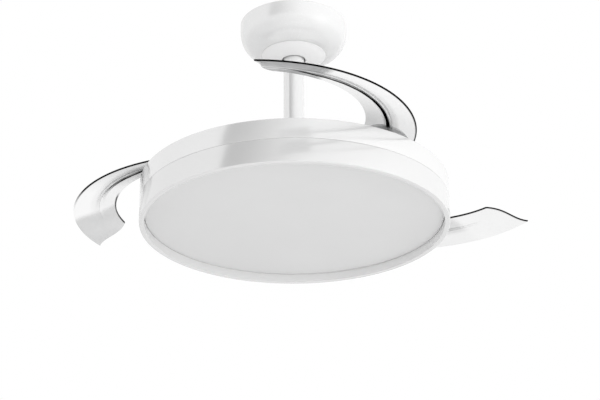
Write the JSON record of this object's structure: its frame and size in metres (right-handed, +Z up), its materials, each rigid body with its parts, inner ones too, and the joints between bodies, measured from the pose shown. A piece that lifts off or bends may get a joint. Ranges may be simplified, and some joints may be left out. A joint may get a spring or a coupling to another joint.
{
  "type": "ceiling fan",
  "caption": "Ceiling fan with a round white lamp drum on a short rod and clear curved blades that fold in a ring over the drum.",
  "frame": {"origin": "middle of the ceiling bracket's flat top face, where it lies on the ceiling", "axes": "+Z up, away from the fan, along the rotor's spin axis; +X to the right and -Y towards the viewer in the picture"},
  "size_m": [0.7694, 0.7112, 0.368],
  "materials": {
    "white_gloss": "glossy white moulding",
    "white_metal": "glossy white enamel",
    "white_matt": "satin white",
    "opal": "opal, softly lit",
    "clear": "clear grey-tinted acrylic",
    "steel": "zinc-plated",
    "dark_steel": "phosphated",
    "copper": "enamelled winding wire",
    "brass": "turned",
    "nylon": "natural moulded nylon",
    "board": "white solder mask",
    "dark_plastic": "moulded black",
    "aluminium": "bare sheet"
  },
  "bodies": {
    "mount": {"ceiling_bracket": "steel", "canopy": "white_metal", "canopy_cap": "white_matt", "canopy_screw_1": "steel", "canopy_screw_2": "steel", "receiver": "dark_plastic", "terminal_block": "nylon"},
    "stem": {"hanger_ball": "nylon", "downrod": "white_metal", "rod_pin": "steel", "rod_coupling": "steel", "coupling_pin": "steel", "coupling_clip": "dark_steel", "coupling_cover": "white_metal", "motor_shaft": "steel", "shaft_nut": "steel", "stator_core": "dark_steel", "stator_winding": "copper", "wire_harness": "dark_plastic", "upper_housing": "white_gloss", "seam_ring": "white_matt", "motor_plate": "aluminium", "lamp_ring": "white_gloss", "lamp_tray": "white_matt", "led_board": "board", "led_driver": "white_matt", "diffuser": "opal"},
    "rotor": {"rotor_plate": "aluminium", "rotor_bell": "dark_steel", "magnet_ring": "dark_steel", "bearing_lower": "steel", "bearing_upper": "steel", "rotor_cover": "white_matt", "pivot_pin_1": "steel", "pin_clip_1": "dark_steel", "return_spring_1": "dark_steel", "pivot_pin_2": "steel", "pin_clip_2": "dark_steel", "return_spring_2": "dark_steel", "pivot_pin_3": "steel", "pin_clip_3": "dark_steel", "return_spring_3": "dark_steel"},
    "sync": {"sync_gear": "nylon"},
    "blade_1_body": {"blade_arm_1": "nylon", "arm_bush_1": "brass", "blade_1": "clear", "blade_clamp_1": "white_matt"},
    "blade_2_body": {"blade_arm_2": "nylon", "arm_bush_2": "brass", "blade_2": "clear", "blade_clamp_2": "white_matt"},
    "blade_3_body": {"blade_arm_3": "nylon", "arm_bush_3": "brass", "blade_3": "clear", "blade_clamp_3": "white_matt"}
  },
  "joints": [
    {"name": "ball_tilt", "type": "hinge", "parent": "mount", "child": "stem", "pos_m": [0, 0, -0.034], "axis": [1, 0, 0], "range_deg": [-3.5, 3.5]},
    {"name": "rotor_spin", "type": "hinge", "parent": "stem", "child": "rotor", "pos_m": [0, 0, -0.298], "axis": [0, 0, 1], "continuous": true},
    {"name": "blade_1_swing", "type": "hinge", "parent": "rotor", "child": "blade_1_body", "pos_m": [0.14637, -0.14637, -0.298], "axis": [0, 0, 1], "range_deg": [-53.6, 40], "stiffness_Nm_per_rad": 0.1, "springref_deg": -85.94},
    {"name": "blade_2_swing", "type": "hinge", "parent": "rotor", "child": "blade_2_body", "pos_m": [-0.19995, -0.05358, -0.298], "axis": [0, 0, 1], "range_deg": [-53.6, 40], "stiffness_Nm_per_rad": 0.1, "springref_deg": -85.94},
    {"name": "blade_3_swing", "type": "hinge", "parent": "rotor", "child": "blade_3_body", "pos_m": [0.05358, 0.19995, -0.298], "axis": [0, 0, 1], "range_deg": [-53.6, 40], "stiffness_Nm_per_rad": 0.1, "springref_deg": -85.94},
    {"name": "sync_turn", "type": "hinge", "parent": "rotor", "child": "sync", "pos_m": [0, 0, -0.3], "axis": [0, 0, 1], "range_deg": [-11.12, 14.9]}
  ],
  "couplings": [
    {"joint": "blade_2_swing", "follows": "blade_1_swing", "ratio": 1},
    {"joint": "blade_3_swing", "follows": "blade_1_swing", "ratio": 1},
    {"joint": "sync_turn", "follows": "blade_1_swing", "ratio": -0.27778}
  ]
}
